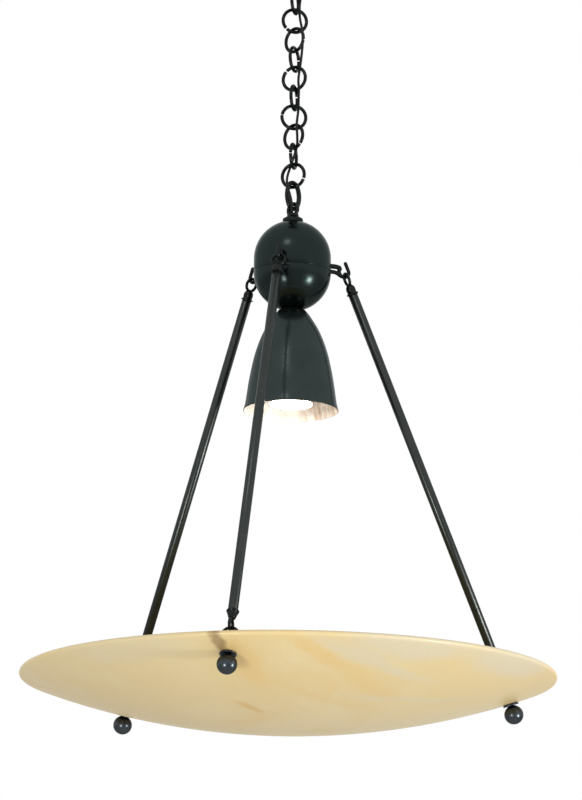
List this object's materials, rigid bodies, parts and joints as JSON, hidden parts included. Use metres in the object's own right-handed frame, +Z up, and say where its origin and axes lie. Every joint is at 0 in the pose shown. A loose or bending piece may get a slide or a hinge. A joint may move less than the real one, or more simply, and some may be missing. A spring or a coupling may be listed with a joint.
{
  "type": "inverted pendant light",
  "caption": "Chain-hung pendant light with a ball body, bell shade over a reflector lamp, and three hooked rods carrying a shallow amber glass bowl.",
  "frame": {"origin": "centre of the ceiling plane, where the crossbar and canopy rim meet the ceiling", "axes": "+Z up into the ceiling, +Y away from the viewer of the picture, +X to the viewer's right"},
  "size_m": [0.609, 0.609, 0.9782],
  "materials": {
    "dark_bronze": "oil-rubbed dark bronze, satin gloss",
    "rod_bronze": "dark brown bronze, satin",
    "shade_bronze": "dark bronze outside, off-white inside",
    "plated_steel": "zinc plated",
    "porcelain": "glazed porcelain",
    "lamp_reflector": "pressed glass with a bright coating",
    "lamp_glass": "clear stippled glass",
    "amber_glass": "amber stone-like glass, fire polished",
    "black_rubber": "matte",
    "black_cord": "woven sleeve"
  },
  "bodies": {
    "ceiling_fitting": {"ceiling_crossbar": "plated_steel", "ground_screw": "plated_steel", "canopy_nipple": "plated_steel", "nipple_locknut": "plated_steel", "canopy": "dark_bronze", "canopy_collar": "dark_bronze", "canopy_loop": "dark_bronze", "power_cord": "black_cord"},
    "ring_01": {"chain_ring_01": "dark_bronze"},
    "ring_02": {"chain_ring_02": "dark_bronze"},
    "ring_03": {"chain_ring_03": "dark_bronze"},
    "ring_04": {"chain_ring_04": "dark_bronze"},
    "ring_05": {"chain_ring_05": "dark_bronze"},
    "ring_06": {"chain_ring_06": "dark_bronze"},
    "ring_07": {"chain_ring_07": "dark_bronze"},
    "ring_08": {"chain_ring_08": "dark_bronze"},
    "ring_09": {"chain_ring_09": "dark_bronze"},
    "ring_10": {"chain_ring_10": "dark_bronze"},
    "ring_11": {"chain_ring_11": "dark_bronze"},
    "ring_12": {"chain_ring_12": "dark_bronze"},
    "connector": {"chain_connector": "dark_bronze"},
    "lamp_body": {"body_loop": "dark_bronze", "upper_shell": "dark_bronze", "lower_shell": "dark_bronze", "hook_hub": "plated_steel", "right_hook": "dark_bronze", "left_hook": "dark_bronze", "front_hook": "dark_bronze", "stem_nipple": "plated_steel", "stem_nuts": "plated_steel", "shade": "shade_bronze", "lamp_bracket": "plated_steel", "lamp_holder": "porcelain", "holder_screws": "plated_steel", "lamp": "lamp_reflector", "lamp_lens": "lamp_glass"},
    "right_rod": {"right_rod_upper_eye": "rod_bronze", "right_rod_tube": "rod_bronze", "right_rod_lower_eye": "rod_bronze"},
    "left_rod": {"left_rod_upper_eye": "rod_bronze", "left_rod_tube": "rod_bronze", "left_rod_lower_eye": "rod_bronze"},
    "front_rod": {"front_rod_upper_eye": "rod_bronze", "front_rod_tube": "rod_bronze", "front_rod_lower_eye": "rod_bronze"},
    "bowl": {"bowl": "amber_glass", "eye_bolts": "dark_bronze", "inner_gaskets": "black_rubber", "inner_washers": "dark_bronze", "bowl_nuts": "dark_bronze", "outer_gaskets": "black_rubber", "flange_washers": "dark_bronze", "finial_balls": "dark_bronze"}
  },
  "joints": [
    {"name": "ring_01_swing", "type": "hinge", "parent": "ceiling_fitting", "child": "ring_01", "pos_m": [0, 0, -0.0527], "axis": [0.9397, 0.342, 0], "range_deg": [-30, 30], "deforming": ["power_cord"]},
    {"name": "ring_02_swing", "type": "hinge", "parent": "ring_01", "child": "ring_02", "pos_m": [0, 0, -0.07618], "axis": [-0.4695, 0.8829, 0], "range_deg": [-30, 30]},
    {"name": "ring_03_swing", "type": "hinge", "parent": "ring_02", "child": "ring_03", "pos_m": [0, 0, -0.10013], "axis": [0.9994, 0.0349, 0], "range_deg": [-30, 30]},
    {"name": "ring_04_swing", "type": "hinge", "parent": "ring_03", "child": "ring_04", "pos_m": [0, 0, -0.12408], "axis": [-0.2756, -0.9613, 0], "range_deg": [-30, 30]},
    {"name": "ring_05_swing", "type": "hinge", "parent": "ring_04", "child": "ring_05", "pos_m": [0, 0, -0.14802], "axis": [0.9781, 0.2079, 0], "range_deg": [-30, 30]},
    {"name": "ring_06_swing", "type": "hinge", "parent": "ring_05", "child": "ring_06", "pos_m": [0, 0, -0.17197], "axis": [-0.7193, 0.6947, 0], "range_deg": [-30, 30]},
    {"name": "ring_07_swing", "type": "hinge", "parent": "ring_06", "child": "ring_07", "pos_m": [0, 0, -0.19592], "axis": [-0.3584, -0.9336, 0], "range_deg": [-30, 30]},
    {"name": "ring_08_swing", "type": "hinge", "parent": "ring_07", "child": "ring_08", "pos_m": [0, 0, -0.21987], "axis": [-0.9205, 0.3907, 0], "range_deg": [-30, 30]},
    {"name": "ring_09_swing", "type": "hinge", "parent": "ring_08", "child": "ring_09", "pos_m": [0, 0, -0.24382], "axis": [-0.2588, -0.9659, 0], "range_deg": [-30, 30]},
    {"name": "ring_10_swing", "type": "hinge", "parent": "ring_09", "child": "ring_10", "pos_m": [0, 0, -0.26777], "axis": [0.9903, 0.1392, 0], "range_deg": [-30, 30]},
    {"name": "ring_11_swing", "type": "hinge", "parent": "ring_10", "child": "ring_11", "pos_m": [0, 0, -0.29173], "axis": [-0.7431, 0.6691, 0], "range_deg": [-30, 30]},
    {"name": "ring_12_swing", "type": "hinge", "parent": "ring_11", "child": "ring_12", "pos_m": [0, 0, -0.31567], "axis": [-0.2419, -0.9703, 0], "range_deg": [-30, 30]},
    {"name": "connector_swing", "type": "hinge", "parent": "ring_12", "child": "connector", "pos_m": [0, 0, -0.33963], "axis": [-0.9063, 0.4226, 0], "range_deg": [-30, 30]},
    {"name": "body_swing", "type": "hinge", "parent": "connector", "child": "lamp_body", "pos_m": [0, 0, -0.3659], "axis": [0.6947, 0.7193, 0], "range_deg": [-30, 30]},
    {"name": "bowl_twist", "type": "hinge", "parent": "lamp_body", "child": "bowl", "pos_m": [0, 0, -0.4438], "axis": [0, 0, 1], "range_deg": [-5, 5]},
    {"name": "right_rod_lean", "type": "hinge", "parent": "lamp_body", "child": "right_rod", "pos_m": [0.06284, 0.01814, -0.44325], "axis": [0.8875, 0.2562, 0.3829], "range_deg": [-2.7, 2.7]},
    {"name": "left_rod_lean", "type": "hinge", "parent": "lamp_body", "child": "left_rod", "pos_m": [-0.04712, 0.04535, -0.44325], "axis": [-0.6656, 0.6405, 0.3829], "range_deg": [-2.7, 2.7]},
    {"name": "front_rod_lean", "type": "hinge", "parent": "lamp_body", "child": "front_rod", "pos_m": [-0.01571, -0.06348, -0.44325], "axis": [-0.2219, -0.8967, 0.3829], "range_deg": [-2.7, 2.7]}
  ],
  "couplings": [
    {"joint": "right_rod_lean", "follows": "bowl_twist", "ratio": 0.51323},
    {"joint": "left_rod_lean", "follows": "bowl_twist", "ratio": 0.51323},
    {"joint": "front_rod_lean", "follows": "bowl_twist", "ratio": 0.51323}
  ]
}
